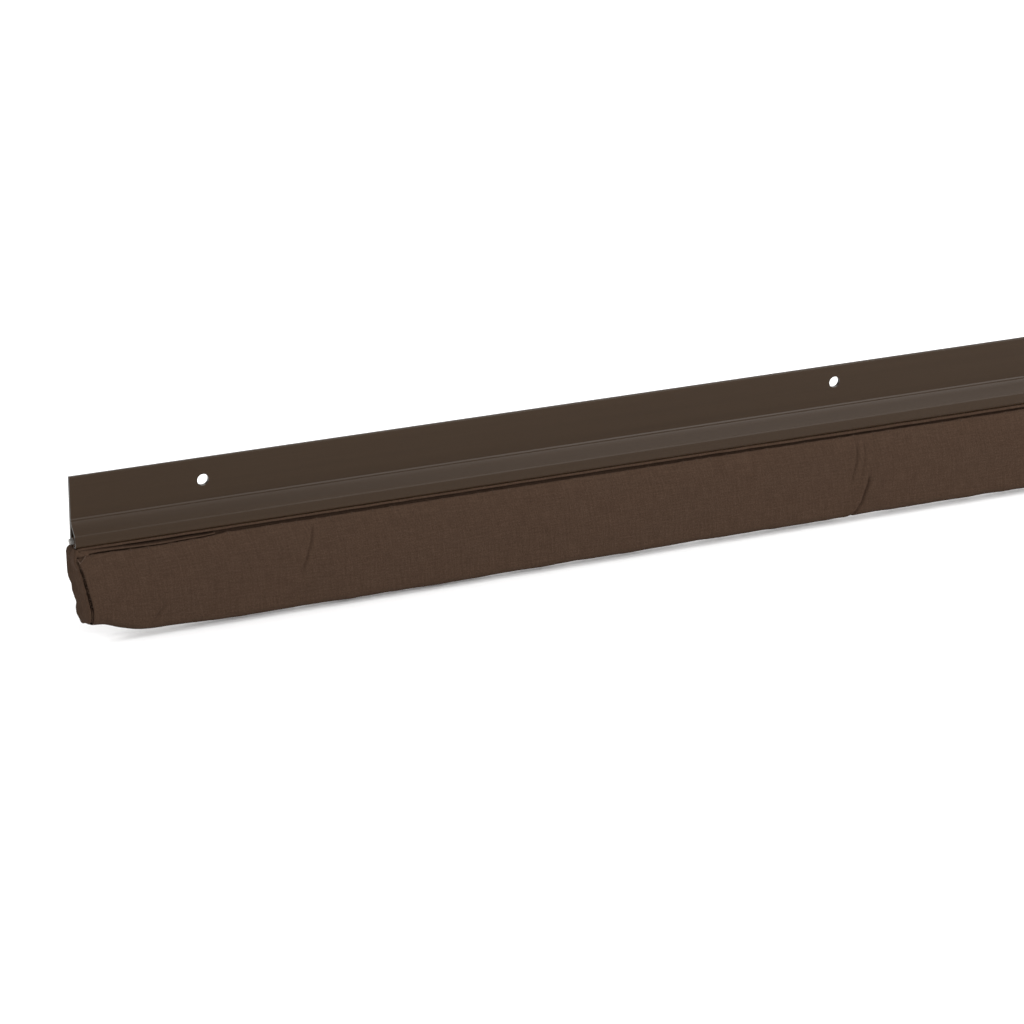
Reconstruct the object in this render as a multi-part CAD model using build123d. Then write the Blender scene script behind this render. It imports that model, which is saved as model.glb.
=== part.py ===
"""Door sweep: an anodised aluminium retainer that is screwed to the foot of a door, and a cloth-covered
fibre pad that hangs from it on a rod-and-channel joint.

Frame: +X along the sweep, the door lies on the +Y side, +Z up. The origin is in the door face (Y = 0),
midway between the two outer screw holes. Sections are drawn with two distances: `front`, how far a
point stands in front of the door face, and `down`, how far it lies below the top edge of the flange.
"""

from build123d import *
import os

# Retainer extrusion
LENGTH = 914.4  # 36 in, to match a standard door leaf
FLANGE = 1.6  # thickness of the flange
HOOD_TOP = 16.65  # the hood leaves the flange here, at a narrow raised edge
HOOD_EDGE = 0.25  # how far that edge stands out
FACET = 0.5  # height of the narrow facets along the hood's top edge and along its ridge
FLARE = ((2.65, 18.85), (4.1, 20.3))  # points of the flare's outer face, between its top and the ridge
INNER_FLARE = ((3.6, 21.0), (2.2, 19.6), (FLANGE, 18.5))  # its inner face, from the ridge up to the flange
RIDGE_DOWN = 21.9  # the flare ends and the skirt starts at this ridge
RIDGE_FRONT = 6.1
RIDGE_STEP = 0.17  # how far forward the ridge's facet leans
HOOD_FOOT = 27.3
SKIRT_FRONT = 6.8  # front face of the skirt at its foot
FOOT_ROUND = 1.6  # the skirt's foot is rounded under
HOOD_WALL = 1.0
WALL_DROP = 0.6  # inside the hood, the flare meets the skirt this much lower
LIP = 0.65  # thickness of the lip turned in at the foot
LIP_FRONT = 4.4  # tip of the lip: the channel's mouth lies behind it
EDGE = 0.5  # rounding of the flange's top edges

# Screw holes, two pairs placed evenly about the middle
HOLE_R = 2.3
OUTER_SPACING = 809.6
INNER_SPACING = 271.8
OUTER_DOWN = 8.8
INNER_DOWN = 7.1

# Retaining rod and the cloth neck wrapped round it
ROD_FRONT = 3.45
ROD_DOWN = 24.85
ROD_R = 1.15
ROD_OVERHANG = 1.4  # the rod stands past each end of the extrusion
NECK_CLOTH = 0.45  # one layer round the rod
NECK_FOOT = 28.0
NECK_INSET = 0.2  # the neck is cut short of the extrusion's ends

# Pad: cloth cover over a fibre core, hanging below the hood
PAD_FRONT = 8.2
PAD_BACK = -1.8
PAD_TOP = 28.6
PAD_FOOT = 64.9
SHOULDER_DOWN = 31.0  # where the front and back faces start
BACK_SHOULDER = ((0.9, 1.1), (2.4, 0.4))  # its corners, in from the back face and down from the top
FRONT_SHOULDER = ((1.8, 0.2), (0.9, 0.9), (0.5, 1.9))  # the same in from the front face
FOOT_R = 3.5
CLOTH = 0.8
CORE_GAP = 0.05
END_BULGE = 1.2  # the top of each end stands past the extrusion
END_PULL = 4.0  # the foot of each end is drawn in by this much
END_CORNER_DOWN = 58.3
VIEW_TOP = PAD_TOP - 1.0  # the ends' slope is drawn from a little above the pad
FOOT_START = 28.0  # distance from the end where the foot reaches its full depth

# Facing band and sewing threads
BAND_BACK = 3.9  # the band's back edge, tucked under the hood
BAND_SHOULDER = ((1.7, -0.3), (0.5, 0.5), (0.0, 1.7))  # its outer corners, measured as the pad's are
BAND_T = 0.45
BAND_GAP = 0.03
THREAD_W = 0.4
THREAD_T = 0.3
SEAM_DOWN = 31.3
SEAM_INSET = 1.2
SEAM_STOP = 1.0  # each end seam stops this short of the hem and of the corner

HALF = LENGTH / 2
FAR = 2 * LENGTH  # longer than anything here, for cutting prisms


def at(front, down):
    """A point of a cross-section, as (Y, Z)."""
    return (-front, OUTER_DOWN - down)


def side(along, down):
    """A point of the front view, as (X, Z)."""
    return (along, OUTER_DOWN - down)


def outline(*edges):
    return make_face(Curve() + list(edges))


def run(face, length):
    """A cross-section drawn out along X, centred on the middle of the sweep."""
    return extrude(Plane.YZ * face, amount=length / 2, both=True)


def write(node, shape):
    shape.label = node
    export_step(shape, f"parts/{node}.step")


def retainer():
    """Flange, flared hood, skirt and inward lip as one extrusion, with four screw holes."""
    edge = at(FLANGE + HOOD_EDGE, HOOD_TOP + FACET)
    flare_top = at(FLANGE + HOOD_EDGE, HOOD_TOP + 2 * FACET)
    ridge = at(RIDGE_FRONT, RIDGE_DOWN)
    flare = Spline(flare_top, *[at(*point) for point in FLARE], ridge)
    inner_ridge = at(RIDGE_FRONT - HOOD_WALL, RIDGE_DOWN + WALL_DROP)
    inner_flare = Spline(inner_ridge, *[at(*point) for point in INNER_FLARE])
    skirt_foot = at(SKIRT_FRONT, HOOD_FOOT - FOOT_ROUND)
    skirt = Polyline(ridge, at(RIDGE_FRONT + RIDGE_STEP, RIDGE_DOWN + FACET), skirt_foot)
    nose = RadiusArc(skirt_foot, at(SKIRT_FRONT - FOOT_ROUND, HOOD_FOOT), -FOOT_ROUND)
    inside = Polyline(
        nose @ 1,
        at(LIP_FRONT, HOOD_FOOT),
        at(LIP_FRONT, HOOD_FOOT - LIP),
        at(SKIRT_FRONT - HOOD_WALL, HOOD_FOOT - LIP),
        inner_ridge,
    )
    back = Polyline(
        inner_flare @ 1,
        at(FLANGE, HOOD_FOOT),
        at(0, HOOD_FOOT),
        at(0, 0),
        at(FLANGE, 0),
        at(FLANGE, HOOD_TOP),
        edge,
        flare_top,
    )
    face = outline(flare, skirt, nose, inside, inner_flare, back)
    body = run(face, LENGTH)
    drill = Plane.XZ * Cylinder(HOLE_R, 6 * FLANGE)
    for spacing, down in ((OUTER_SPACING, OUTER_DOWN), (INNER_SPACING, INNER_DOWN)):
        for x in (-spacing / 2, spacing / 2):
            body -= Pos(x, -FLANGE / 2, OUTER_DOWN - down) * drill
    top_edges = body.edges().filter_by(Axis.X).group_by(Axis.Z)[-1]
    return fillet(top_edges, EDGE)


def retaining_rod():
    return run(Pos(*at(ROD_FRONT, ROD_DOWN)) * Circle(ROD_R), LENGTH + 2 * ROD_OVERHANG)


def neck():
    """Cloth wrapped once round the rod, its two layers passing down through the channel's mouth."""
    wrap = Pos(*at(ROD_FRONT, ROD_DOWN)) * Circle(ROD_R + NECK_CLOTH)
    tail_top = ROD_DOWN + ROD_R
    tail = Pos(*at(ROD_FRONT, (tail_top + NECK_FOOT) / 2)) * Rectangle(2 * NECK_CLOTH, NECK_FOOT - tail_top)
    hollow = Pos(*at(ROD_FRONT, ROD_DOWN)) * Circle(ROD_R)
    return run(wrap + tail - hollow, LENGTH - 2 * NECK_INSET)


def front_shoulder(corners=FRONT_SHOULDER):
    return [at(PAD_FRONT - inward, PAD_TOP + drop) for inward, drop in corners]


def pad_section():
    """The pad's cross-section: sloping shoulders, flat faces and a rounded foot."""
    shoulders = Polyline(
        at(PAD_BACK, SHOULDER_DOWN),
        *[at(PAD_BACK + inward, PAD_TOP + drop) for inward, drop in BACK_SHOULDER],
        at(ROD_FRONT, PAD_TOP),
        *front_shoulder(),
        at(PAD_FRONT, SHOULDER_DOWN),
    )
    front = Line(shoulders @ 1, at(PAD_FRONT, PAD_FOOT - FOOT_R))
    front_toe = RadiusArc(front @ 1, at(PAD_FRONT - FOOT_R, PAD_FOOT), -FOOT_R)
    sole = Line(front_toe @ 1, at(PAD_BACK + FOOT_R, PAD_FOOT))
    back_toe = RadiusArc(sole @ 1, at(PAD_BACK, PAD_FOOT - FOOT_R), -FOOT_R)
    back = Line(back_toe @ 1, shoulders @ 0)
    return outline(shoulders, front, front_toe, sole, back_toe, back)


def pad_front_view():
    """The pad seen from the front: both ends lean in, and the foot rises towards them."""
    top = HALF + END_BULGE
    low = HALF - END_PULL
    full = HALF - FOOT_START
    edges = [
        Line(side(-top, VIEW_TOP), side(top, VIEW_TOP)),
        Line(side(-full, PAD_FOOT), side(full, PAD_FOOT)),
    ]
    for hand in (-1, 1):
        corner = side(hand * low, END_CORNER_DOWN)
        edges.append(Line(side(hand * top, VIEW_TOP), corner))
        edges.append(TangentArc(side(hand * full, PAD_FOOT), corner, tangent=(hand, 0)))
    return outline(*edges)


def pad_solid(inset):
    """The whole pad, shrunk by `inset` on every side."""
    section = pad_section()
    view = pad_front_view()
    if inset:
        section = offset(section, -inset)
        view = offset(view, -inset)
    return run(section, FAR) & extrude(Plane.XZ * view, amount=FAR, both=True)


def pad_cavity():
    """The room inside the cloth, run out through both end walls so that the cover is an open tube."""
    room = pad_solid(CLOTH)
    ends = room.faces().sort_by(Axis.X)
    return room + extrude(ends[0], amount=2 * CLOTH) + extrude(ends[-1], amount=2 * CLOTH)


def between_ends():
    """A prism that holds everything between the inner faces of the pad's two end walls."""
    reach = 20.0
    lean = (END_BULGE + END_PULL) / (END_CORNER_DOWN - VIEW_TOP)
    top = HALF + END_BULGE - CLOTH + lean * reach
    low = HALF - END_PULL - CLOTH - lean * reach
    up = VIEW_TOP - reach
    foot = END_CORNER_DOWN + reach
    corners = [side(-top, up), side(top, up), side(low, foot), side(-low, foot)]
    return extrude(Plane.XZ * make_face(Polyline(*corners, close=True)), amount=FAR, both=True)


def facing_band():
    """The strip of cloth between the hood and the cover's hem, lying on the front shoulder."""
    strip = Polyline(
        at(BAND_BACK, PAD_TOP - BAND_T),
        *front_shoulder(BAND_SHOULDER),
        *reversed(front_shoulder()),
        at(BAND_BACK, PAD_TOP + BAND_GAP),
        close=True,
    )
    return run(make_face(strip), LENGTH - 2 * SEAM_INSET)


def seam_thread(start, end):
    """A lock-stitched thread lying on the pad's front face, from one (X, down) point to another."""
    a = Vector(*side(*start))
    b = Vector(*side(*end))
    across = (b - a).rotate(Axis.Z, 90).normalized() * (THREAD_W / 2)
    bar = make_face(Polyline(a + across, b + across, b - across, a - across, close=True))
    face = Plane(origin=(0, -PAD_FRONT, 0), x_dir=(1, 0, 0), z_dir=(0, -1, 0))
    return extrude(face * bar, amount=THREAD_T)


def main():
    os.makedirs("parts", exist_ok=True)
    write("retainer", retainer())
    write("retaining_rod", retaining_rod())
    write("sleeve_neck", neck())

    pad = pad_solid(0)
    middle = between_ends()
    write("pad_cover", (pad & middle) - pad_cavity())
    ends = (pad - middle).solids().sort_by(Axis.X)
    write("end_panel_left", ends[0])
    write("end_panel_right", ends[-1])
    write("fibre_core", pad_solid(CLOTH + CORE_GAP))

    write("facing_band", facing_band())
    hem_end = HALF - SEAM_INSET
    write("hem_thread", seam_thread((-hem_end, SEAM_DOWN), (hem_end, SEAM_DOWN)))
    for hand, word in ((-1, "left"), (1, "right")):
        top = (hand * (HALF - SEAM_INSET), SEAM_DOWN + SEAM_STOP)
        low = (hand * (HALF - END_PULL - SEAM_INSET), END_CORNER_DOWN - SEAM_STOP)
        write(f"end_thread_{word}", seam_thread(top, low))


main()
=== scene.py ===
"""The looks of the door sweep: anodised retainer, cloth-covered pad with sewn hem and folded ends.

Lengths in this file are millimetres until a mesh is written. A place is given by `x` along the sweep,
`front`, how far it stands in front of the door face, and `down`, how far it lies below the top edge.
"""
import math

import bpy
import numpy as np
from mathutils import Matrix, Vector


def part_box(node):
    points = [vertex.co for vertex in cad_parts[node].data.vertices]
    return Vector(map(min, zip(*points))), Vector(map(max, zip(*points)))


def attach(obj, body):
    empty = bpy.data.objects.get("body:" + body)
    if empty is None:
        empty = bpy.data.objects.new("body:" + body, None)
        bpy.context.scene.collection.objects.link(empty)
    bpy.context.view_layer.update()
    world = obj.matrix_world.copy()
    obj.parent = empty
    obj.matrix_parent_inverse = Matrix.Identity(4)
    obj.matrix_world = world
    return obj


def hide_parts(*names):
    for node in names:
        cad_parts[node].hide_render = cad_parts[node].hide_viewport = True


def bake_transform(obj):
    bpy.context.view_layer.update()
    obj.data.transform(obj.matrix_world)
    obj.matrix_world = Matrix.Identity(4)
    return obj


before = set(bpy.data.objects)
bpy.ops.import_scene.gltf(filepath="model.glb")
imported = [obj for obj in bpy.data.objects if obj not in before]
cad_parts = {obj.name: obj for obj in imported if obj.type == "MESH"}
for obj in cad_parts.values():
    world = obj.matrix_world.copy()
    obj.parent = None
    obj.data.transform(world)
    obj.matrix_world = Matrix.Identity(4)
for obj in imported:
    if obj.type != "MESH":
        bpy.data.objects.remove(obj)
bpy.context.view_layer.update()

MM = 0.001
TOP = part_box("retainer")[1].z / MM
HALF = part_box("retainer")[1].x / MM
PAD_FRONT = -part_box("pad_cover")[0].y / MM
PAD_BACK = -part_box("pad_cover")[1].y / MM
PAD_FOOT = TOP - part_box("pad_cover")[0].z / MM
ROD_LOW, ROD_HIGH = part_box("retaining_rod")
ROD_R = (ROD_HIGH.z - ROD_LOW.z) / 2 / MM
ROD_FRONT = -(ROD_HIGH.y + ROD_LOW.y) / 2 / MM
ROD_DOWN = TOP - (ROD_HIGH.z + ROD_LOW.z) / 2 / MM

CLOTH = 0.5  # thickness of the cloth
THIN = 0.2  # how far a thinner piece of cloth reaches on either side of its middle
FOOT_R = 3.5  # rounding of the pad's foot
HEEL_R = 1.1  # sharper rounding of the heel where the end wall stands out
PAD_MIDDLE = 3.2  # front of the plane halfway through the pad
HEM_DOWN = 29.3  # the cover's folded top edge, just below the hood
FACE_TOP = 31.0  # the flat part of the front face starts here
WALL_OUT = 1.7  # the end wall stands this far outside the cover's end
WAD_TOP = 31.2  # the wad inside reaches from here ...
WAD_LIFT = 2.2  # ... to this far above the pad's foot
WAD_INSET = 9.0  # and stops this far from the retainer's ends
WAD_THICK = 3.5  # half its thickness


# ---- small helpers ---------------------------------------------------------------------------


def smooth(a, b, v):
    """0 on the side of a, 1 on the side of b, and a soft step between; a may be the larger one."""
    t = np.clip((v - a) / (b - a), 0, 1)
    return t * t * (3 - 2 * t)


def spline(v, points):
    """A smooth curve through (v, value) points, level past both ends."""
    xs, ys = np.array(points, float).T
    slope = np.gradient(ys, xs)
    v = np.clip(np.asarray(v, float), xs[0], xs[-1])
    i = np.clip(np.searchsorted(xs, v) - 1, 0, len(xs) - 2)
    h = xs[i + 1] - xs[i]
    t = (v - xs[i]) / h
    return (
        ys[i] * (1 + 2 * t) * (1 - t) ** 2
        + ys[i + 1] * t * t * (3 - 2 * t)
        + h * (slope[i] * t * (1 - t) ** 2 + slope[i + 1] * t * t * (t - 1))
    )


def waves(x, d, seed, length, amount, count=14):
    """Gentle lumps: a seeded sum of sine waves, about `length` mm from crest to crest."""
    rng = np.random.default_rng(seed)
    total = np.zeros(np.broadcast(x, d).shape)
    for _ in range(count):
        angle = rng.uniform(0, math.pi)
        k = 2 * math.pi / (length * rng.uniform(0.7, 1.6))
        total += np.sin(k * (math.cos(angle) * x + math.sin(angle) * d) + rng.uniform(0, 6.28))
    return amount * total / math.sqrt(count)


def from_path(x, d, path):
    """Signed distance of each point from a polyline, and how far along it the nearest point is."""
    best = np.full(np.shape(x), 1e9)
    side = np.zeros(np.shape(x))
    along = np.zeros(np.shape(x))
    legs = [math.dist(a, b) for a, b in zip(path, path[1:])]
    done = 0.0
    for (ax, ad), (bx, bd), leg in zip(path, path[1:], legs):
        ux, ud = (bx - ax) / leg, (bd - ad) / leg
        t = np.clip((x - ax) * ux + (d - ad) * ud, 0, leg)
        away = np.hypot(x - ax - t * ux, d - ad - t * ud)
        nearer = away < best
        best = np.where(nearer, away, best)
        side = np.where(nearer, np.sign((x - ax) * ud - (d - ad) * ux), side)
        along = np.where(nearer, (done + t) / sum(legs), along)
        done += leg
    return best * side, along


def crease(x, d, path, width, depth, fade=0.25):
    """A drag line in the cloth: a narrow valley, a soft ridge beside it and a lower one across from that."""
    away, along = from_path(x, d, path)
    strength = depth * smooth(0, fade, along) * (1 - smooth(1 - fade, 1, along) * 0.9)
    valley = np.exp(-((away / width) ** 2))
    ridge = np.exp(-(((away - 2.0 * width) / (1.6 * width)) ** 2))
    far_ridge = np.exp(-(((away + 2.4 * width) / (2.0 * width)) ** 2))
    return strength * (0.75 * ridge + 0.35 * far_ridge - valley)


def place(x, front, down):
    """Points in metres, in the row frame."""
    x, front, down = np.broadcast_arrays(x, front, down)
    return np.stack([x, -front, TOP - down], axis=-1) * MM


# ---- the pad's shape -------------------------------------------------------------------------

# The left-hand values here, and the wrinkles within 400 mm of the left end, were measured at places picked
# in the photo, carried into millimetres through the fitted camera, and then rounded and adjusted.
# The photo ends there, so the rest is made up.

# How far in from the retainer's end the cover ends, by height: along its front edge, then its back edge
LEAN_FRONT = {
    "left": [
        (28, 1.0), (32, 0.9), (35, 2.1), (38.2, 3.1), (42, 4.0), (47, 5.1), (51, 5.9), (57, 6.1), (62, 6.6),
    ],
    "right": [(28, 0.8), (32, 0.7), (37, 2.4), (42, 3.3), (48, 4.6), (53, 5.7), (58, 6.0), (62, 6.4)],
}
LEAN_BACK = {
    "left": [
        (27.5, 1.4), (28.5, 0.8), (31.3, 0.4), (34, 0.2), (38.6, 0.65), (43.6, 1.4), (48.6, 2.5),
        (51.2, 3.25), (53.6, 3.0), (56.5, 3.5), (58.5, 4.4), (60.5, 5.3),
    ],
    "right": [
        (27.5, 1.3), (29, 0.6), (34, 0.4), (39, 0.5), (43, 1.5), (46, 1.6), (51, 2.9), (55, 3.4), (60, 4.9),
    ],
}
# How much higher than the CAD foot the cloth's foot is, by distance from either end
FOOT_RISE = [
    (0, 6.9), (4.5, 6.2), (8.5, 4.9), (12.8, 3.55), (17.3, 2.45), (21.5, 1.55), (24, 1.2), (27, 1.0),
    (32, 0.8), (39, 0.6), (47, 0.35), (60, 0.1), (75, 0),
]
# ... and all along, by distance from the left end
FOOT_SAG = [
    (60, 0), (130, -0.25), (216, 0.15), (296, 0.3), (365, 0.4), (460, 0.1), (560, -0.4), (680, 0.2),
    (780, -0.3), (850, 0),
]
# The dropped stretch of hem at each end: the cover's edge, then the top of the fold that shows above it
DROPPED_HEM = {
    "left": [
        (0, 30.7), (1.5, 30.35), (4, 30.15), (11, 30.05), (21, 30.2), (33, 30.5), (44, 30.15), (53, 29.9),
        (56, 29.6), (59, HEM_DOWN),
    ],
    "right": [
        (0, 30.7), (1.5, 30.3), (5, 30.05), (14, 30.1), (26, 30.35), (36, 30.05), (41, 29.7), (45, HEM_DOWN),
    ],
}
FOLD_TOP = {
    "left": [
        (0, 27.7), (3, 27.95), (6, 28.15), (11, 28.4), (16, 28.6), (21, 28.85), (33, 29.15), (44, 28.95),
        (55, 29.0),
    ],
    "right": [(0, 27.7), (5, 28.05), (14, 28.5), (26, 28.95), (36, 28.85), (42, 28.95)],
}
# How far the facing sags below the hood along the sweep
SLACK = [(0, 0), (210, 0), (270, 0.2), (330, 0.65), (430, 0.5), (560, 0.1), (700, 0.3), (820, 0.05), (914, 0)]
# The fold's section: share of the way from its top to the hem, and how far it stands behind the pad's face
FOLD = [
    (-0.4, 3.0), (-0.2, 2.4), (-0.04, 1.7), (0.12, 1.2), (0.3, 0.95), (0.5, 0.88), (0.7, 0.95), (0.84, 1.15),
    (0.93, 1.5), (0.98, 2.0), (1.02, 2.7), (1.2, 3.4),
]
# The hem's bead and shoulder: distance below its top edge, and how far it stands behind the pad's face
HEM = [(0, 1.35), (0.35, 1.0), (0.9, 0.8), (1.8, 0.62), (3, 0.42), (5, CLOTH / 2)]


def lean(end, front, down):
    """How far in from the retainer's end the cover ends, at this place of its section."""
    share = np.clip((front - PAD_BACK) / (PAD_FRONT - PAD_BACK), 0, 1)
    return spline(down, LEAN_BACK[end]) * (1 - share) + spline(down, LEAN_FRONT[end]) * share


def settle(x, front, down):
    """Leans the ends and draws the foot up near them: from the straight pad to the real one."""
    u_left, u_right = HALF + x, HALF - x
    rise = spline(u_left, FOOT_RISE) + spline(u_right, FOOT_RISE)
    share = 0.6 + 0.4 * np.clip((front - PAD_BACK) / (PAD_FRONT - PAD_BACK), 0, 1)
    new_down = down - (rise * share + spline(u_left, FOOT_SAG)) * smooth(38, 60, down)
    shift = lean("left", front, new_down) * (1 - smooth(0, 30, u_left))
    shift = shift - lean("right", front, new_down) * (1 - smooth(0, 30, u_right))
    return x + shift, front, new_down


def hem_line(x):
    """How far down the cover's folded top edge lies, along the sweep."""
    left, right = spline(HALF + x, DROPPED_HEM["left"]), spline(HALF - x, DROPPED_HEM["right"])
    wander = waves(x, 0 * x, 3, 26, 0.06)
    close = sum(np.exp(-(((x - at) / 0.9) ** 2)) * pull for at, pull in STITCHES)
    return left + right - HEM_DOWN + wander - 0.28 * close + 0.15 * spline(HALF + x, SLACK)


def hem_front(below):
    """Front of the cover's middle layer, by distance below the hem: a bead, then a soft shoulder."""
    return PAD_FRONT - spline(below, HEM)


def stitch_places():
    """Where the hem is caught down, and how hard each stitch pulls."""
    rng = np.random.default_rng(61)
    places = []
    x = -HALF + 5.0
    while x < HALF - 5.0:
        places.append((x, rng.choice([0.35, 0.6, 1.0])))
        x += rng.uniform(5.5, 9.0)
    return places


STITCHES = stitch_places()
LEFT = -HALF


def tuck(x, d, path, width, height):
    """A tuck pressed flat: its lip climbs slowly from the left, then drops into a narrow gap."""
    away, along = from_path(x, d, path)
    strength = height * smooth(0, 0.35, along)
    lip = np.where(away < 0, np.exp(-((away / (3.0 * width)) ** 2)), np.exp(-((away / (0.3 * width)) ** 2)))
    gap = np.exp(-(((away - 0.9 * width) / (0.7 * width)) ** 2))
    return strength * (lip * (1 - 0.75 * smooth(0.75, 0.97, along)) - 1.3 * gap)


def drag_lines(x, down):
    """The cloth's wrinkles on the front face, from the left end. Past 400 mm they are made up."""
    total = 0
    for path, width, depth in (
        ([(93.9, 28.6), (93.0, 36.5), (91.8, 41.2), (90.2, 46.4), (87.3, 51.7)], 0.7, 0.5),
        ([(329.0, 29.5), (329.2, 39.7), (327.6, 46.2), (326.4, 50.5)], 0.6, 0.45),
        ([(332.0, 29.7), (332.6, 39.7), (331.6, 46.2), (330.6, 50.0)], 0.7, 0.24),
        ([(34.5, 53.2), (33.0, 55.4), (31.0, 58.0), (29.2, 60.6), (27.6, 62.6)], 0.55, 0.4),
        ([(281.4, 27.7), (282.0, 40.7)], 0.9, 0.14),
        ([(471.0, 42.2), (469.5, 47.7), (472.5, 54.7), (477.0, 61.7)], 0.8, 0.3),
        ([(611.0, 63.7), (607.0, 54.7), (606.0, 44.7), (608.5, 35.7)], 0.75, 0.42),
        ([(744.0, 29.2), (746.5, 39.7), (744.0, 49.7)], 0.8, 0.26),
    ):
        total = total + crease(x, down, [(LEFT + px, pd) for px, pd in path], width, depth)
    for path, width, height in (
        ([(334.6, 44.0), (334.0, 50.2), (331.4, 58.0), (328.6, 62.1), (326.0, 65.5)], 1.1, 0.85),
        ([(836.0, 40.0), (838.0, 48.0), (842.5, 56.0), (848.0, 62.5)], 0.85, 0.4),
    ):
        total = total + tuck(x, down, [(LEFT + px, pd) for px, pd in path], width, height)
    return total


def back_drag_lines(x, down):
    """The wrinkles on the back, from the left end, all of them made up."""
    total = 0
    for path, width, depth in (
        ([(120.0, 31.0), (124.0, 42.0), (121.0, 54.0)], 0.9, 0.35),
        ([(402.0, 62.0), (396.0, 50.0), (397.0, 38.0)], 0.9, 0.4),
        ([(655.0, 31.0), (652.0, 44.0), (657.0, 56.0)], 0.8, 0.3),
        ([(880.0, 34.0), (876.0, 45.0), (869.0, 56.0)], 0.9, 0.4),
    ):
        total = total + crease(x, down, [(LEFT + px, pd) for px, pd in path], width, depth)
    return total


def swell(x, front, down):
    """How far the stuffed cloth stands off the plain pad shape, along its normal."""
    on_face = smooth(FACE_TOP - 3, FACE_TOP + 1, down)
    middle = np.sin(np.clip((down - 30) / (PAD_FOOT - 30), 0, 1) * math.pi)
    lump = waves(x, down, 11, 46, 0.15) + waves(x, down + 40 * (front < 3), 12, 17, 0.06)
    lump = lump + waves(x, down * 0.35, 13, 8, 0.03)
    total = on_face * (lump + 0.15 * middle)
    near_left = np.exp(-((HALF + x) / 14) ** 2)
    near_right = np.exp(-((HALF - x) / 14) ** 2)
    pulled = waves(x * 0.4, down, 14, 7, 0.13)
    total = total + on_face * pulled * (near_left + near_right)
    return total + np.where(front > 3, drag_lines(x, down), back_drag_lines(x, down)) * on_face


def puckers(x, below):
    """Dimples that run down from the hem's stitches."""
    total = 0
    for at, pull in STITCHES:
        spread = 0.7 + 0.35 * below
        total = total - pull * np.exp(-(((x - at) / spread) ** 2))
    return 0.4 * total * np.exp(-below / 1.6) * smooth(-0.2, 0.5, below)


def columns():
    """Where the cloth's mesh has its columns: close together near the ends and the wrinkles."""
    busy = [LEFT + v for v in (90.5, 331.5, 30.0, 282.0, 474.0, 608.0, 745.0, 841.0)]
    xs = [-HALF]
    while xs[-1] < HALF:
        x = xs[-1]
        u = min(HALF + x, HALF - x)
        step = 0.4 if u < 8 else 0.7 if u < 62 else 1.5
        if any(abs(x - b) < 9 for b in busy):
            step = min(step, 0.45)
        xs.append(x + step)
    xs[-1] = HALF
    return np.array(xs)


# ---- mesh making -----------------------------------------------------------------------------


def normals_of(points):
    """Unit normals of a grid of points, outwards when its rows run along x and its columns downwards."""
    n = np.cross(np.gradient(points, axis=1), np.gradient(points, axis=0))
    return n / np.maximum(np.linalg.norm(n, axis=2, keepdims=True), 1e-12)


def lengths_along(points, axis):
    """How far each point of a grid lies from the grid's start, measured along one axis."""
    step = np.linalg.norm(np.diff(points, axis=axis), axis=2)
    pad = [(0, 0), (0, 0)]
    pad[axis] = (1, 0)
    return np.cumsum(np.pad(step, pad), axis=axis)


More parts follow.
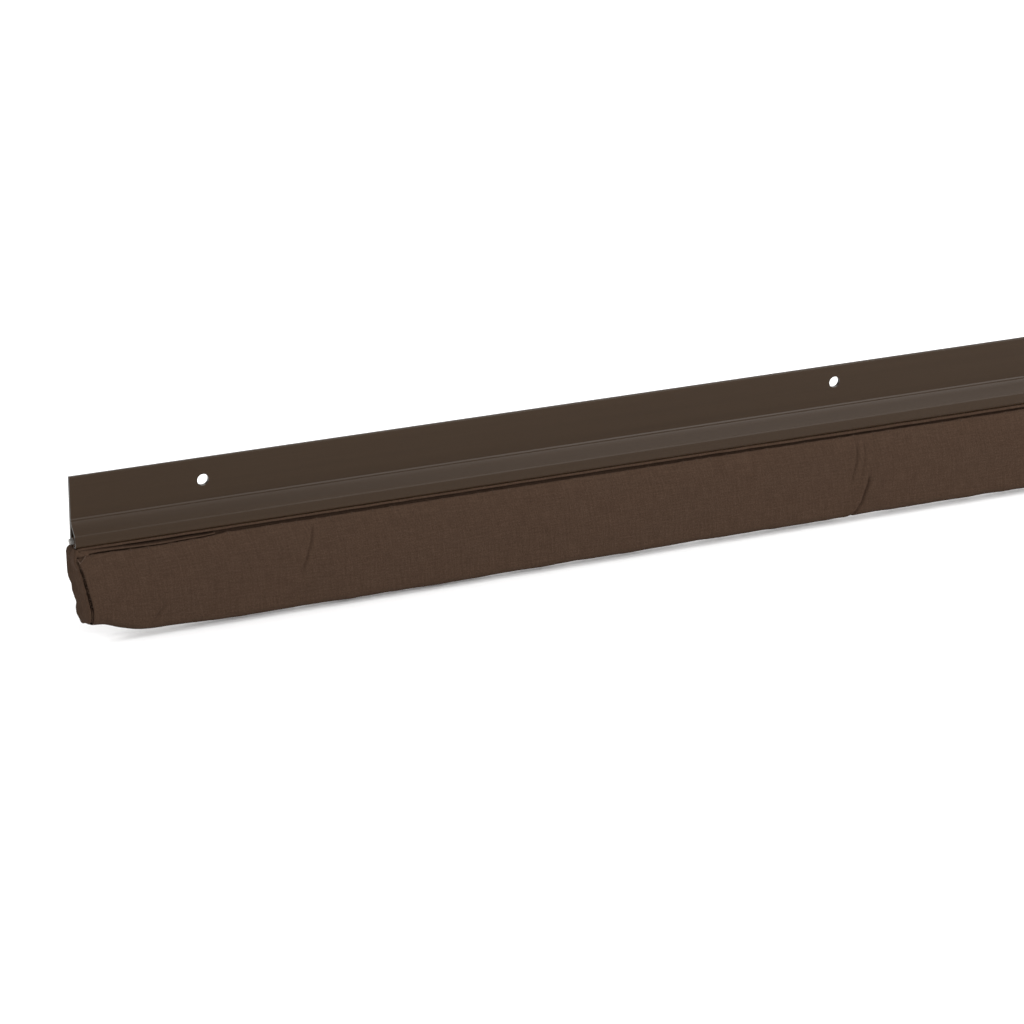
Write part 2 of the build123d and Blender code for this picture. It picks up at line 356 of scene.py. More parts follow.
class Cloth:
    """Vertices, faces and thread coordinates of one cloth piece, gathered from one or more slabs."""

    def __init__(self):
        self.verts, self.faces, self.weave = [], [], []
        self.count = 0

    def add(self, verts, faces, weave):
        """Takes in one more closed shape."""
        self.verts.append(verts)
        self.weave.append(weave)
        self.faces += [tuple(self.count + k for k in f) for f in faces]
        self.count += len(verts)

    def slab(self, points, out=CLOTH / 2, inward=CLOTH / 2, turn=0.0):
        """A sheet of cloth along a grid of points (metres), with its edges rounded over."""
        n, m = points.shape[:2]
        normal = normals_of(points)
        outer = points + normal * np.broadcast_to(out, (n, m))[..., None] * MM
        inner = points - normal * inward * MM
        edge = [(i, 0) for i in range(n)] + [(n - 1, j) for j in range(1, m)]
        edge += [(i, m - 1) for i in range(n - 2, -1, -1)] + [(0, j) for j in range(m - 2, 0, -1)]
        rim = []
        for i, j in edge:
            ni, nj = min(max(i, 1), n - 2), min(max(j, 1), m - 2)
            away = points[i, j] - points[ni, nj]
            away = away / max(np.linalg.norm(away), 1e-12)
            mid = (outer[i, j] + inner[i, j]) / 2
            rim.append(mid + away * np.linalg.norm(outer[i, j] - inner[i, j]) / 2)
        along = lengths_along(points, 0) / MM
        across = lengths_along(points, 1) / MM
        weave = np.stack([along, across, np.full_like(along, turn)], axis=-1)
        flat = weave.reshape(-1, 3)
        verts = np.concatenate([outer.reshape(-1, 3), inner.reshape(-1, 3), np.array(rim)])
        threads = np.concatenate([flat, flat, np.array([weave[i, j] for i, j in edge])])
        faces = []
        for i in range(n - 1):
            for j in range(m - 1):
                a, b, c, d = i * m + j, i * m + j + 1, (i + 1) * m + j + 1, (i + 1) * m + j
                faces += [(a, b, c, d), (n * m + d, n * m + c, n * m + b, n * m + a)]
        k = len(edge)
        for e in range(k):
            f = (e + 1) % k
            oa, ob = edge[e][0] * m + edge[e][1], edge[f][0] * m + edge[f][1]
            ra, rb = 2 * n * m + e, 2 * n * m + f
            faces += [(oa, ob, rb, ra), (ra, rb, n * m + ob, n * m + oa)]
        self.add(verts, faces, threads)
        return self

    def build(self, name, slot, *stands_for):
        """Makes the piece, which takes the place of the CAD nodes named."""
        mesh = bpy.data.meshes.new(name)
        verts = np.concatenate(self.verts)
        mesh.from_pydata([tuple(v) for v in verts], [], self.faces)
        mesh.polygons.foreach_set("use_smooth", [True] * len(mesh.polygons))
        threads = mesh.attributes.new("threads", "FLOAT_VECTOR", "POINT")
        threads.data.foreach_set("vector", np.concatenate(self.weave).astype(np.float32).ravel())
        mesh.update()
        piece = bpy.data.objects.new(name, mesh)
        bpy.context.scene.collection.objects.link(piece)
        piece.data.materials.append(MATERIALS[slot])
        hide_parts(*stands_for)
        return piece


def bend(piece):
    """Bakes the piece's placement into its mesh."""
    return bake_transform(piece)


def strand(cloth, path, radius, sides=6, plies=2, pitch=1.1):
    """A twisted thread along a path of points (mm, as place() takes them), closed at both ends."""
    path = np.array(path, float)
    steps = lengths_along(path[:, None], 0)[:, 0]
    tangent = np.gradient(path, axis=0)
    tangent /= np.maximum(np.linalg.norm(tangent, axis=1, keepdims=True), 1e-9)
    across = np.cross(tangent, np.array([0.0, 0.0, 1.0]) + 0.01)
    across /= np.maximum(np.linalg.norm(across, axis=1, keepdims=True), 1e-9)
    third = np.cross(tangent, across)
    count = len(path)
    for ply in range(plies):
        turn = 2 * math.pi * (steps / pitch + ply / plies)
        centre = path + radius * 0.48 * (
            across * np.cos(turn)[:, None] + third * np.sin(turn)[:, None]
        )
        taper = np.sqrt(np.clip(1 - np.linspace(-1, 1, count) ** 6, 0.08, 1))
        angles = np.arange(sides) * 2 * math.pi / sides
        ring = across[:, None] * np.cos(angles)[:, None] + third[:, None] * np.sin(angles)[:, None]
        verts = centre[:, None] + ring * (radius * 0.62 * taper)[:, None, None]
        flat = verts.reshape(-1, 3)
        faces = []
        for i in range(count - 1):
            for j in range(sides):
                k = (j + 1) % sides
                faces.append((i * sides + j, i * sides + k, (i + 1) * sides + k, (i + 1) * sides + j))
        faces.append(tuple(range(sides - 1, -1, -1)))
        faces.append(tuple((count - 1) * sides + j for j in range(sides)))
        weave = np.stack([np.repeat(steps, sides), np.tile(angles, count), np.full(count * sides, ply)], 1)
        cloth.add(place(flat[:, 0], flat[:, 1], flat[:, 2]), faces, weave)


# ---- pieces ----------------------------------------------------------------------------------


# The last of the section: over the pad's rear shoulder and in under the hood, front and down
REAR_SHOULDER = [
    (-1.75, 29.6), (-1.6, 28.6), (-1.2, 28.0), (-0.5, 27.6), (0.5, 27.45), (1.6, 27.4), (2.6, 27.4),
]


def toe_and_back(heel=FOOT_R):
    """The rest of the pad's section after its front face: toe, sole, heel, back and rear shoulder."""
    points = []
    for step in range(1, 10):
        a = step / 9 * math.pi / 2
        points.append((PAD_FRONT - FOOT_R + FOOT_R * math.cos(a), PAD_FOOT - FOOT_R + FOOT_R * math.sin(a)))
    for share in (0.33, 0.67):
        points.append((PAD_FRONT - FOOT_R - share * 3.0, PAD_FOOT))
    for step in range(10):
        a = step / 9 * math.pi / 2
        points.append((PAD_BACK + heel - heel * math.sin(a), PAD_FOOT - heel + heel * math.cos(a)))
    points += [(PAD_BACK, down) for down in np.linspace(PAD_FOOT - heel, 31.0, 32)[1:]]
    return points + REAR_SHOULDER


def add_fold(cloth, end):
    """The fold that shows above the dropped stretch of hem at one end."""
    sign = -1 if end == "left" else 1
    stop = FOLD_TOP[end][-1][0]
    u = np.arange(0.2, stop + 0.4, 0.7)[:, None]
    share, behind = np.array(FOLD).T
    top = spline(u, FOLD_TOP[end])
    foot = spline(u, DROPPED_HEM[end]) - 0.6 - 0.4 * smooth(3, 9, u)
    down = top + (foot - top) * share
    front = PAD_FRONT - behind - 0.5 * smooth(stop - 6, stop, u)
    x = np.tile(sign * (HALF - u), (1, len(FOLD)))
    if sign > 0:
        x, front, down = x[::-1], front[::-1], down[::-1]
    cloth.slab(place(*settle(x, front, down)), THIN, THIN)


def pad_cover():
    """The cover: front face below its folded hem, foot and back, and the hem's fold where it shows."""
    cloth = Cloth()
    xs = columns()
    face_foot = PAD_FOOT - FOOT_R
    rest = np.array(toe_and_back())
    near = np.array([0, 0.15, 0.35, 0.6, 0.9, 1.3, 1.8, 2.4, 3.1, 3.9, 4.8])
    far = np.linspace(0, 1, 62)[1:]
    hem = hem_line(xs)[:, None]
    below = np.concatenate([np.tile(near, (len(xs), 1)), near[-1] + (face_foot - hem - near[-1]) * far], 1)
    rows = below.shape[1]
    down = np.concatenate([hem + below, np.tile(rest[:, 1], (len(xs), 1))], 1)
    front = np.concatenate([hem_front(below), np.tile(rest[:, 0], (len(xs), 1))], 1)
    x = np.tile(xs[:, None], (1, down.shape[1]))
    base = place(*settle(x, front, down))
    out = swell(x, front, down)
    out[:, rows:] -= CLOTH / 2
    out[:, :rows] += puckers(x[:, :rows], below)
    points = base + normals_of(base) * out[..., None] * MM
    doubled = np.full(out.shape, CLOTH / 2)
    doubled[:, :rows] += 0.16 * (1 - smooth(0.9, 1.5, below))
    doubled[:, :rows] += 0.1 * (1 - smooth(0.5, 1.6, HALF - abs(x[:, :rows])))
    cloth.slab(points, doubled)
    for end in ("left", "right"):
        add_fold(cloth, end)
    piece = cloth.build("cloth_cover", "brown_cloth", "pad_cover")
    return bend(piece)


# The facing's section, front and down: out under the hood, round the bead and in under the cover
FACING = [
    (3.9, 27.95), (4.6, 27.8), (5.3, 27.65), (5.9, 27.45), (6.2, 27.24), (6.42, 27.08), (6.62, 27.04),
    (6.8, 27.1), (6.9, 27.25), (6.9, 27.42), (6.76, 27.58), (6.4, 27.7), (5.7, 27.85), (5.0, 28.1),
    (4.6, 28.6), (4.5, 29.4), (4.7, 30.4), (5.1, 32.0),
]


def facing_band():
    """The strip between the hood and the hem: it rolls out under the hood and goes in under the cover."""
    xs = columns()
    xs = np.concatenate([[-HALF - 0.4], xs[::2], [HALF + 0.4]])
    section = np.array(FACING)
    front = np.tile(section[:, 0], (len(xs), 1))
    down = np.tile(section[:, 1], (len(xs), 1))
    x = np.tile(xs[:, None], (1, len(section)))
    slack = spline(HALF + x, SLACK)
    front = front - 0.8 * slack
    roll = waves(x, down * 0, 21, 13, 0.05) + waves(x, down * 0, 22, 5, 0.025) + slack
    cloth = Cloth().slab(place(*settle(x, front, down + roll * smooth(26.7, 27.4, down))), THIN, THIN)
    piece = cloth.build("cloth_facing", "brown_cloth", "facing_band")
    return bend(piece)


# Rows of the end panel from under the cover outwards: distance inside the cover's end, depth below the face
END_GROOVE = [
    (3.6, 0.85), (2.2, 0.95), (1.1, 1.1), (0.5, 1.4), (0.12, 1.7), (-0.12, 1.85), (-0.38, 1.9),
    (-0.62, 1.9), (-0.85, 1.75), (-1.0, 1.4), (-1.12, 1.05), (-1.25, 0.8), (-1.42, 0.72), (-1.6, 0.95),
    (-1.7, 1.4),
]
# ... and then across the end wall: share of the way from its rim to its middle
WALL_ROWS = (0.12, 0.25, 0.4, 0.56, 0.72, 0.87, 1.0)
# The start of an end panel's outline, front and down, from under the hood to its front face
END_SHOULDER = [(3.9, 27.35), (4.8, 27.35), (5.7, 27.4), (6.6, 27.55), (7.2, 27.8), (7.7, 28.3), (8.0, 28.9)]


def end_outlines():
    """The end panel's outline, front and down: with the cover's soft heel, then with a sharper one."""
    downs = np.concatenate([np.arange(29.25, 34, 0.25), np.linspace(34, PAD_FOOT - FOOT_R, 46)])
    face = [(PAD_FRONT, down) for down in downs]
    last = [(PAD_MIDDLE, 27.35)]
    return [np.array(END_SHOULDER + face + toe_and_back(heel) + last) for heel in (FOOT_R, HEEL_R)]


def end_depths(u, ring, reach, sign):
    """How far in from its outline each point of the end panel lies: a sewn groove, then the wall."""
    on_face = ring[..., 0] > 7
    height = ring[..., 1]
    on_seam = smooth(30.0, 32.0, height) * (0.6 + 0.4 * smooth(34, 42, height) - 0.4 * smooth(58, 61, height))
    on_seam = on_seam * (1 + waves(height, 0 * height, 81 + sign, 3.2, 0.16))
    grooved = np.where(on_face, on_seam, 0.45)
    unsewn = 0.45
    depth = np.empty(u.shape)
    for i, (inside, sunk) in enumerate(END_GROOVE):
        depth[i] = unsewn + (sunk - unsewn) * (grooved[i] if inside > -1.3 else 1)
    corner = END_GROOVE[-1][1]
    for i, share in enumerate(WALL_ROWS, len(END_GROOVE)):
        depth[i] = corner + (reach[i] - corner) * share
    lip = np.exp(-(((u + 0.3) / 0.17) ** 2)) * smooth(50, 55, height)
    hem = np.exp(-(((height - 29.95) / 0.42) ** 2)) * smooth(-1.3, -0.5, u)
    return depth + on_face * (1.7 * hem - 1.05 * lip)


def end_panel(end):
    """The cloth that closes one end: out from under the cover, round a soft corner and across."""
    sign = -1 if end == "left" else 1
    soft, sharp = end_outlines()
    rows = [inside for inside, _ in END_GROOVE] + [-WALL_OUT] * len(WALL_ROWS)
    u = np.tile(np.array(rows)[:, None], (1, len(soft)))
    outside = smooth(0.3, -0.9, u)[..., None]
    ring = soft * (1 - outside) + sharp * outside
    medial = np.stack([np.full(u.shape, PAD_MIDDLE), np.clip(ring[..., 1], 32.0, PAD_FOOT - FOOT_R)], -1)
    reach = np.linalg.norm(ring - medial, axis=-1)
    toward = (medial - ring) / reach[..., None]
    depth = end_depths(u, ring, reach, sign)
    front = ring[..., 0] + toward[..., 0] * depth
    down = ring[..., 1] + toward[..., 1] * depth
    down = down - (0.55 + 0.3 * smooth(3, 6, front)) * smooth(0.0, -0.6, u) * smooth(30.5, 28.5, down)
    if sign < 0:
        u, front, down = u[::-1], front[::-1], down[::-1]
    base = place(*settle(sign * (HALF - np.clip(u, 0, None)), front, down))
    base[..., 0] += sign * np.clip(-u, 0, None) * MM
    on_wall = smooth(-0.7, -1.5, u)
    lumps = waves(front * 1.2, down, 31 + sign, 11, 0.16) + waves(front * 0.5, down, 35 + sign, 4.5, 0.07)
    points = base + normals_of(base) * (lumps * on_wall)[..., None] * MM
    cloth = Cloth().slab(points, THIN, THIN, turn=1.0)
    piece = cloth.build(f"cloth_end_{end}", "brown_cloth", f"end_panel_{end}")
    return bend(piece)


def sleeve_neck():
    """Cloth wrapped round the rod, its two layers running down through the channel's mouth."""
    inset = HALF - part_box("sleeve_neck")[1].x / MM
    xs = np.linspace(-HALF + inset, HALF - inset, 230)
    r = ROD_R + 0.24  # middle of the wrap's cloth
    gap = math.asin(0.42 / r)  # half the angle left open at the bottom
    section = [(ROD_FRONT - 0.3, d) for d in (29.1, 28.3, 27.5, 26.9, 26.5)]
    for a in np.linspace(-math.pi / 2 - gap, -5 * math.pi / 2 + gap, 26):
        section.append((ROD_FRONT + r * math.cos(a), ROD_DOWN - r * math.sin(a)))
    section += [(ROD_FRONT + 0.3, d) for d in (26.5, 26.9, 27.5, 28.3, 29.1)]
    section = np.array(section)[::-1]
    front = np.tile(section[:, 0], (len(xs), 1))
    down = np.tile(section[:, 1], (len(xs), 1))
    x = np.tile(xs[:, None], (1, len(section)))
    front = front + waves(x, down, 41, 9, 0.03) * smooth(25.2, 27.7, down)
    cloth = Cloth().slab(place(x, front, down), THIN, THIN)
    piece = cloth.build("cloth_neck", "brown_cloth", "sleeve_neck")
    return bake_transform(piece)


def fibre_core():
    """The wad of steel wool and polyester inside: one closed body, lumpy all over."""
    xs = np.arange(-HALF + WAD_INSET, HALF - WAD_INSET + 0.1, 3.0)
    angles = np.linspace(0, 2 * math.pi, 49)[:-1]
    verts, faces, weave = [], [], []
    foot = PAD_FOOT - WAD_LIFT
    middle, half_height = (WAD_TOP + foot) / 2, (foot - WAD_TOP) / 2
    for i, x in enumerate(xs):
        close = 0.35 + 0.65 * math.sqrt(min(i, len(xs) - 1 - i, 3) / 3)
        lift = float(spline(HALF + x, FOOT_RISE) + spline(HALF - x, FOOT_RISE) + spline(HALF + x, FOOT_SAG))
        for a in angles:
            c, s = math.cos(a), math.sin(a)
            thick = WAD_THICK * close * math.copysign(abs(c) ** 0.45, c)
            tall = half_height * close * math.copysign(abs(s) ** 0.6, s)
            ripple = 0.35 * math.sin(3 * a + 0.01 * x)
            down = middle + tall - lift * float(smooth(42, 60, middle + tall)) * 0.9
            verts.append((x, PAD_MIDDLE + thick + ripple * 0.4, down))
            weave.append((x, 12 * a, 0.0))
    verts = np.array(verts)
    verts[:, 1] += waves(verts[:, 0], verts[:, 2], 51, 11, 0.12)
    n, m = len(xs), len(angles)
    for i in range(n - 1):
        for j in range(m):
            k = (j + 1) % m
            faces.append((i * m + j, (i + 1) * m + j, (i + 1) * m + k, i * m + k))
    faces.append(tuple(range(m)))
    faces.append(tuple((n - 1) * m + j for j in range(m - 1, -1, -1)))
    cloth = Cloth()
    cloth.add(place(verts[:, 0], verts[:, 1], verts[:, 2]), faces, np.array(weave))
    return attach(cloth.build("fill_wad", "steel_poly_fill", "fibre_core"), "pad")


def add_stitch(cloth, path, radius):
    """One stitch along a path of (x, front, down) points of the straight pad."""
    nx, nf, nd = settle(path[:, 0], path[:, 1], path[:, 2])
    strand(cloth, np.stack([nx, nf, nd], 1), radius)


def hem_thread():
    """Slip stitches that hold the hem to the facing, a little uneven."""
    rng = np.random.default_rng(62)
    cloth = Cloth()
    t = np.linspace(-1, 1, 9)
    for at, _ in STITCHES:
        hem = float(hem_line(np.array([at]))[0])
        slant = rng.uniform(-0.3, 0.3)
        below = 0.15 + 0.5 * t
        front = hem_front(np.clip(below, 0, 5)) + 0.42 - 1.6 * np.clip(0.05 - below, 0, 1)
        add_stitch(cloth, np.stack([at + slant * t, front, hem + below], 1), 0.11)
    return bend(cloth.build("stitches_hem", "brown_thread", "hem_thread"))


def end_thread(end):
    """Ladder stitches down the end seam, and the knotted start of the seam at its top corner."""
    sign = -1 if end == "left" else 1
    rng = np.random.default_rng(71 + sign)
    cloth = Cloth()
    t = np.linspace(-1, 1, 9)
    down = 34.5
    while down < 57.5:
        front = PAD_FRONT + 0.1 - 0.75 * np.clip(-t, 0, 1) ** 1.5 - 0.35 * np.clip(t - 0.5, 0, 1)
        add_stitch(cloth, np.stack([sign * (HALF - 0.62 * t + 0.1), front, down + 0.25 * t], 1), 0.12)
        down += rng.uniform(3.4, 5.2)
    t = np.linspace(0, 1, 9)
    for a, b in (((0.35, 32.3), (2.5, 29.9)), ((-0.75, 30.9), (0.1, 32.6)), ((-0.3, 32.9), (0.6, 31.8))):
        u, d = a[0] + (b[0] - a[0]) * t, a[1] + (b[1] - a[1]) * t
        front = PAD_FRONT + 0.05 + 0.2 * np.sin(math.pi * t)
        front = front - 0.45 * np.clip(-u, 0, 1) - 0.5 * smooth(30.6, 29.8, d)
        add_stitch(cloth, np.stack([sign * (HALF - u), front, d - 0.4], 1), 0.22)
    return bend(cloth.build(f"stitches_end_{end}", "brown_thread", f"end_thread_{end}"))


# ---- materials -------------------------------------------------------------------------------


class Nodes:
    """A material under construction, with short names for the shader nodes used below."""

    def __init__(self, name):
        self.material = bpy.data.materials.new(name)
        self.material.use_nodes = True
        self.tree = self.material.node_tree
        self.shader = self.tree.nodes["Principled BSDF"]

    def new(self, kind, **settings):
        node = self.tree.nodes.new(kind)
        for key, value in settings.items():
            setattr(node, key, value)
        return node

    def link(self, a, b):
        self.tree.links.new(a, b)

    def math(self, operation, a, b=None):
        node = self.new("ShaderNodeMath", operation=operation)
        for socket, value in zip(node.inputs, (a, b)):
            if value is None:
                continue
            if isinstance(value, (int, float)):
                socket.default_value = value
            else:
                self.link(value, socket)
        return node.outputs[0]

    def scaled(self, vector, scale):
        node = self.new("ShaderNodeVectorMath", operation="MULTIPLY")
        self.link(vector, node.inputs[0])
        node.inputs[1].default_value = scale
        return node.outputs[0]

    def noise(self, vector, scale=1.0, detail=3.0, roughness=0.5):
        node = self.new("ShaderNodeTexNoise")
        self.link(vector, node.inputs["Vector"])
        node.inputs["Scale"].default_value = scale
        node.inputs["Detail"].default_value = detail
        node.inputs["Roughness"].default_value = roughness
        return node.outputs["Fac"]

    def ramp(self, value, *stops):
        node = self.new("ShaderNodeValToRGB")
        band = node.color_ramp
        while len(band.elements) < len(stops):
            band.elements.new(0.5)
        for element, (at, colour) in zip(band.elements, stops):
            element.position = at
            element.color = (*colour, 1) if len(colour) == 3 else colour
        self.link(value, node.inputs["Fac"])
        return node.outputs["Color"]

    def grey(self, value, low, high):
        node = self.new("ShaderNodeMapRange")
        self.link(value, node.inputs["Value"])
        node.inputs["To Min"].default_value = low
        node.inputs["To Max"].default_value = high
        return node.outputs["Result"]

    def mix(self, factor, a, b, blend_type="MIX"):
        node = self.new("ShaderNodeMix", data_type="RGBA", blend_type=blend_type)
        for socket, value in ((node.inputs[0], factor), (node.inputs[6], a), (node.inputs[7], b)):
            if isinstance(value, (int, float)):
                socket.default_value = value
            elif isinstance(value, tuple):
                socket.default_value = (*value, 1)
            else:
                self.link(value, socket)
        return node.outputs[2]

    def bump(self, height, distance, strength=1.0, after=None):
        node = self.new("ShaderNodeBump")
        node.inputs["Strength"].default_value = strength
        node.inputs["Distance"].default_value = distance
        self.link(height, node.inputs["Height"])
        if after is not None:
            self.link(after, node.inputs["Normal"])
        return node.outputs["Normal"]

    def position(self):
        """Object coordinates in millimetres."""
        return self.scaled(self.new("ShaderNodeTexCoord").outputs["Object"], (1000, 1000, 1000))

    def set(self, **sockets):
        """Constant values on the shader's own sockets, with an underscore for each space in their names."""
        for name, value in sockets.items():
            self.shader.inputs[name.replace("_", " ")].default_value = value


def bronze():
    """Dark-bronze anodising over drawn aluminium: fine lengthwise lines, bare metal at the sawn ends."""
    n = Nodes("bronze_anodised")
    place_mm = n.position()
    drawn = n.noise(n.scaled(place_mm, (0.012, 5.0, 5.0)), detail=4)
    broad = n.noise(n.scaled(place_mm, (0.006, 0.35, 0.35)), detail=2)
    speckle = n.noise(n.scaled(place_mm, (1.6, 3.0, 3.0)), detail=2)
    tone = n.math("ADD", n.math("MULTIPLY", drawn, 0.5), n.math("MULTIPLY", broad, 0.5))
    film = n.ramp(tone, (0.3, (0.0210, 0.0108, 0.0042)), (0.7, (0.0254, 0.0136, 0.0058)))
    facing = n.new("ShaderNodeSeparateXYZ")
    n.link(n.new("ShaderNodeTexCoord").outputs["Normal"], facing.inputs[0])
    sawn = n.math("GREATER_THAN", n.math("ABSOLUTE", facing.outputs["X"]), 0.9)
    bare = n.ramp(speckle, (0.3, (0.017, 0.0135, 0.0105)), (0.7, (0.033, 0.027, 0.022)))
    n.link(n.mix(sawn, film, bare), n.shader.inputs["Base Color"])
    satin = n.math("ADD", drawn, n.math("MULTIPLY", speckle, 0.3))
    n.link(n.grey(satin, 0.30, 0.44), n.shader.inputs["Roughness"])
    normal = n.bump(drawn, 0.00003, 0.5)
    n.link(n.bump(speckle, 0.00001, 0.3, normal), n.shader.inputs["Normal"])
    n.set(Specular_IOR_Level=0.15)
    return n.material


def grey_plastic():
    """Plain extruded plastic, slightly clouded and grained."""
    n = Nodes("grey_plastic")
    place_mm = n.position()
    cloud = n.noise(n.scaled(place_mm, (0.08, 1.2, 1.2)), detail=3)
    grain = n.noise(n.scaled(place_mm, (2.0, 4.0, 4.0)), detail=2)
    colour = n.ramp(cloud, (0.3, (0.14, 0.133, 0.125)), (0.7, (0.19, 0.182, 0.172)))
    n.link(colour, n.shader.inputs["Base Color"])
    n.link(n.grey(grain, 0.5, 0.65), n.shader.inputs["Roughness"])
    n.link(n.bump(grain, 0.00003, 0.4), n.shader.inputs["Normal"])
    return n.material


def brown_cloth():
    """Plain weave with slubs: threads both ways, long thick-and-thin yarns, a little fuzz, and painted shade
    between the threads.
    """
    n = Nodes("brown_cloth")
    threads = n.new("ShaderNodeAttribute", attribute_name="threads").outputs["Vector"]
    drift = n.noise(n.scaled(threads, (0.05, 0.05, 0.05)), detail=2)
    part = n.new("ShaderNodeSeparateXYZ")
    n.link(threads, part.inputs[0])
    pitch = 2 * math.pi / 0.42
    wobble = n.math("MULTIPLY", drift, 14.0)
    warp = n.math("SINE", n.math("ADD", n.math("MULTIPLY", part.outputs["X"], pitch), wobble))
    weft = n.math("SINE", n.math("ADD", n.math("MULTIPLY", part.outputs["Y"], pitch), wobble))
    over = n.math("MULTIPLY", warp, weft)
    ribs = n.math("ADD", n.math("ABSOLUTE", warp), n.math("ABSOLUTE", weft))
    weave = n.math("ADD", n.math("MULTIPLY", over, 0.5), n.math("MULTIPLY", ribs, 0.35))
    slub_down = n.noise(n.scaled(threads, (1.1, 0.12, 1.0)), detail=3, roughness=0.65)
    slub_across = n.noise(n.scaled(threads, (0.11, 1.2, 1.0)), detail=3, roughness=0.65)
    fuzz = n.noise(n.scaled(threads, (1.5, 1.5, 1.5)), detail=4, roughness=0.75)
    patch = n.noise(n.scaled(threads, (0.03, 0.06, 1.0)), detail=3)
    slubs = n.math("ADD", n.math("MULTIPLY", slub_down, 0.55), n.math("MULTIPLY", slub_across, 0.45))
    tone = n.math("ADD", n.math("MULTIPLY", slubs, 0.45), n.math("MULTIPLY", fuzz, 0.55))
    cloth = n.ramp(
        tone,
        (0.30, (0.0315, 0.0188, 0.0124)),
        (0.5, (0.0482, 0.0297, 0.0202)),
        (0.70, (0.0700, 0.0447, 0.0316)),
    )
    warmer = n.mix(n.grey(patch, 0.0, 0.5), cloth, (1.06, 0.98, 0.92), "MULTIPLY")
    # Painted shade: the colour is darkened where the weave's height is low, standing in for shade between the
    # threads.
    painted_weave_shade = n.mix(n.grey(weave, 0.22, 0.0), warmer, (0.35, 0.33, 0.31), "MULTIPLY")
    n.link(painted_weave_shade, n.shader.inputs["Base Color"])
    n.link(n.grey(fuzz, 0.82, 0.97), n.shader.inputs["Roughness"])
    normal = n.bump(weave, 0.00010, 0.7)
    normal = n.bump(slubs, 0.00025, 0.5, normal)
    n.link(n.bump(fuzz, 0.00008, 0.5, normal), n.shader.inputs["Normal"])
    n.set(Specular_IOR_Level=0.03)
    return n.material


def brown_thread():
    """Sewing thread with darker and lighter fibres along its twist."""
    n = Nodes("brown_thread")
    threads = n.new("ShaderNodeAttribute", attribute_name="threads").outputs["Vector"]
    fibres = n.noise(n.scaled(threads, (2.2, 1.1, 1.0)), detail=3)
    colour = n.ramp(fibres, (0.3, (0.034, 0.021, 0.0145)), (0.7, (0.082, 0.054, 0.039)))
    n.link(colour, n.shader.inputs["Base Color"])
    n.link(n.grey(fibres, 0.65, 0.85), n.shader.inputs["Roughness"])
    n.link(n.bump(fibres, 0.00004, 0.6), n.shader.inputs["Normal"])
    n.set(Specular_IOR_Level=0.1)
    return n.material


def steel_poly_fill():
    """Matted steel strands with pale polyester fibres between them."""
    n = Nodes("steel_poly_fill")
    place_mm = n.position()
    strands = n.noise(n.scaled(place_mm, (0.5, 2.2, 2.2)), detail=6, roughness=0.75)
    tangle = n.noise(n.scaled(place_mm, (1.6, 1.0, 0.6)), detail=5, roughness=0.7)
    colour = n.ramp(
        strands,
        (0.36, (0.045, 0.043, 0.041)),
        (0.52, (0.30, 0.29, 0.28)),
        (0.68, (0.62, 0.60, 0.57)),
    )
    n.link(colour, n.shader.inputs["Base Color"])
    n.link(n.ramp(tangle, (0.42, (0, 0, 0)), (0.55, (0.9, 0.9, 0.9))), n.shader.inputs["Metallic"])
    n.link(n.grey(tangle, 0.35, 0.8), n.shader.inputs["Roughness"])
    n.link(n.bump(strands, 0.0006, 0.9), n.shader.inputs["Normal"])
    return n.material


# ---- stage -----------------------------------------------------------------------------------


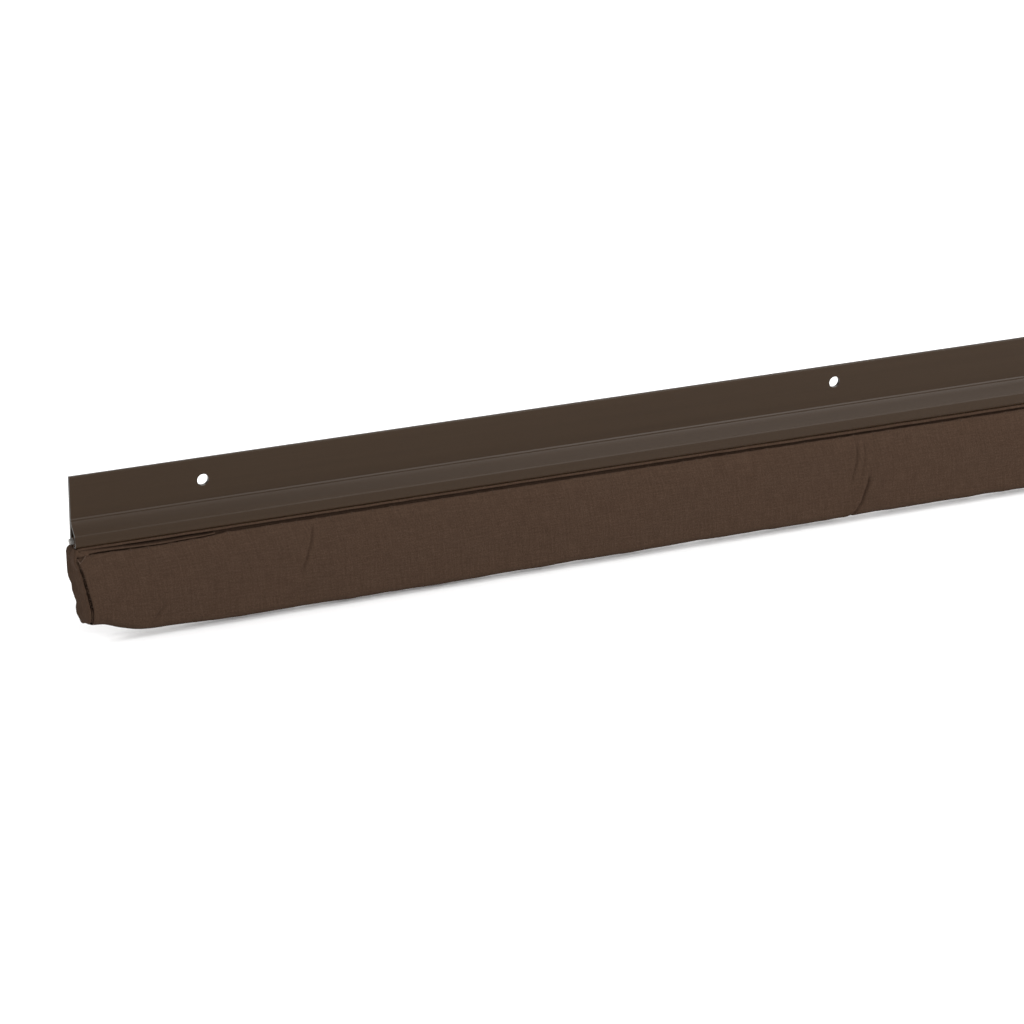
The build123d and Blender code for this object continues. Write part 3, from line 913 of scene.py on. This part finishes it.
def floor_and_light():
    """A white floor just under the pad, a bright room, and four soft boxes."""
    size = 6.0
    gap = 1.6
    mesh = bpy.data.meshes.new("floor")
    low = (TOP - PAD_FOOT - gap) * MM
    corners = [(-size, -size, low), (size, -size, low), (size, size, low), (-size, size, low)]
    mesh.from_pydata(corners, [], [(0, 1, 2, 3)])
    floor = bpy.data.objects.new("floor", mesh)
    bpy.context.scene.collection.objects.link(floor)
    n = Nodes("pale_floor")
    n.set(Base_Color=(0.94, 0.94, 0.94, 1), Roughness=0.9, Specular_IOR_Level=0.1)
    mesh.materials.append(n.material)
    world = bpy.data.worlds.new("studio")
    world.use_nodes = True
    world.node_tree.nodes["Background"].inputs["Color"].default_value = (1, 1, 1, 1)
    world.node_tree.nodes["Background"].inputs["Strength"].default_value = 0.68
    bpy.context.scene.world = world
    for name, at, aim, width, height, watts in (
        ("front_right", (1.0, -1.95, 1.15), (-0.15, 0, 0), 1.5, 1.3, 60.5),
        ("overhead", (1.1, -0.35, 2.0), (0.5, 0, 0), 2.0, 1.2, 27.0),
        ("backdrop", (0.4, 2.0, 1.6), (0.4, 0.8, 0), 2.0, 1.0, 36.0),
        ("left_end", (-2.4, 0.15, 0.6), (-0.45, 0, 0), 1.0, 1.0, 17.0),
    ):
        light = bpy.data.lights.new(name, "AREA")
        light.shape = "RECTANGLE"
        light.size, light.size_y = width, height
        light.energy = watts
        lamp = bpy.data.objects.new(name, light)
        lamp.location = at
        lamp.rotation_euler = (Vector(aim) - Vector(at)).to_track_quat("-Z", "Y").to_euler()
        bpy.context.scene.collection.objects.link(lamp)


def camera():
    """The photograph's view, fitted to the retainer's edges and holes: from the left, with a long lens."""
    yaw, tilt, roll = (math.radians(v) for v in (24.083, 21.333, -0.34))
    ahead = Vector((math.sin(yaw) * math.cos(tilt), math.cos(yaw) * math.cos(tilt), -math.sin(tilt)))
    right = Vector((math.cos(yaw), -math.sin(yaw), 0))
    under = ahead.cross(right)
    side = math.cos(roll) * right + math.sin(roll) * under
    under = math.cos(roll) * under - math.sin(roll) * right
    data = bpy.data.cameras.new("camera")
    data.sensor_width = 36.0
    data.lens = 140.5
    data.clip_end = 50.0
    eye = bpy.data.objects.new("camera", data)
    turn = Matrix((side, -under, -ahead)).transposed().to_4x4()
    left_of_end, before_door, above_holes = 0.4145, 1.3312, 0.5362
    place_at = (-HALF * MM - left_of_end, -before_door, above_holes)
    eye.matrix_world = Matrix.Translation(place_at) @ turn
    bpy.context.scene.collection.objects.link(eye)
    bpy.context.scene.camera = eye


MATERIALS = {
    "bronze_anodised": bronze(),
    "grey_plastic": grey_plastic(),
    "brown_cloth": brown_cloth(),
    "brown_thread": brown_thread(),
    "steel_poly_fill": steel_poly_fill(),
}
for node, slot in (("retainer", "bronze_anodised"), ("retaining_rod", "grey_plastic")):
    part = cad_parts[node]
    part.data.materials.clear()
    part.data.materials.append(MATERIALS[slot])

pad_cover()
facing_band()
for end in ("left", "right"):
    end_panel(end)
    end_thread(end)
sleeve_neck()
fibre_core()
hem_thread()
floor_and_light()
camera()
bpy.context.scene.view_settings.view_transform = "Standard"
